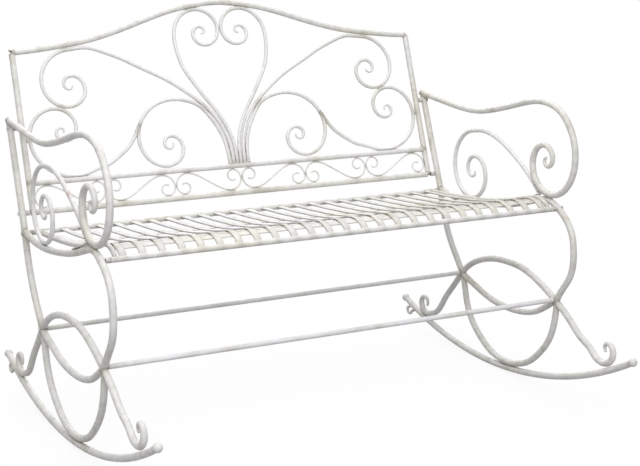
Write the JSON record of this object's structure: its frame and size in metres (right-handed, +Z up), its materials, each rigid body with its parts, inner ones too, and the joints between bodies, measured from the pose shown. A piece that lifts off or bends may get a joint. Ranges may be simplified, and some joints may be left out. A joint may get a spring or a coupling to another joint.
{
  "type": "rocking bench",
  "caption": "Two-seat metal rocking bench on curved runners, with scrolled arms, a scrollwork back and a flat-strap seat.",
  "frame": {"origin": "on the floor under the middle of the bench's outline seen from above", "axes": "+Z up; the front of the seat faces -Y; +X to the right of a person who looks at the front"},
  "size_m": [1.1196, 0.9706, 0.8932],
  "materials": {
    "white_paint": "distressed antique white paint",
    "bolt_steel": "dark, dull"
  },
  "bodies": {
    "root": {"left_arm_rail": "white_paint", "left_rear_post": "white_paint", "left_seat_leg": "white_paint", "left_foot_arch": "white_paint", "left_eye_bar": "white_paint", "left_lower_hoop": "white_paint", "left_rocker_runner": "white_paint", "left_arm_brace": "white_paint", "left_arm_stay": "white_paint", "left_rear_stop": "white_paint", "left_back_stile": "white_paint", "left_seat_end_bar": "white_paint", "left_heart_scroll": "white_paint", "left_upper_wing": "white_paint", "left_inner_wing": "white_paint", "left_outer_wing": "white_paint", "left_upper_back_bolt": "bolt_steel", "left_lower_back_bolt": "bolt_steel", "left_rear_seat_bolt": "bolt_steel", "left_front_seat_bolt": "bolt_steel", "left_rear_stretcher_bolt": "bolt_steel", "left_front_stretcher_bolt": "bolt_steel", "right_arm_rail": "white_paint", "right_rear_post": "white_paint", "right_seat_leg": "white_paint", "right_foot_arch": "white_paint", "right_eye_bar": "white_paint", "right_lower_hoop": "white_paint", "right_rocker_runner": "white_paint", "right_arm_brace": "white_paint", "right_arm_stay": "white_paint", "right_rear_stop": "white_paint", "right_back_stile": "white_paint", "right_seat_end_bar": "white_paint", "right_heart_scroll": "white_paint", "right_upper_wing": "white_paint", "right_inner_wing": "white_paint", "right_outer_wing": "white_paint", "right_upper_back_bolt": "bolt_steel", "right_lower_back_bolt": "bolt_steel", "right_rear_seat_bolt": "bolt_steel", "right_front_seat_bolt": "bolt_steel", "right_rear_stretcher_bolt": "bolt_steel", "right_front_stretcher_bolt": "bolt_steel", "crest_rail": "white_paint", "mid_rail": "white_paint", "low_rail": "white_paint", "band_scroll_1": "white_paint", "band_scroll_2": "white_paint", "band_scroll_3": "white_paint", "band_scroll_4": "white_paint", "band_scroll_5": "white_paint", "band_scroll_6": "white_paint", "seat_rear_rail": "white_paint", "seat_front_rail": "white_paint", "seat_lattice": "white_paint", "rear_stretcher": "white_paint", "front_stretcher": "white_paint"}
  },
  "joints": []
}
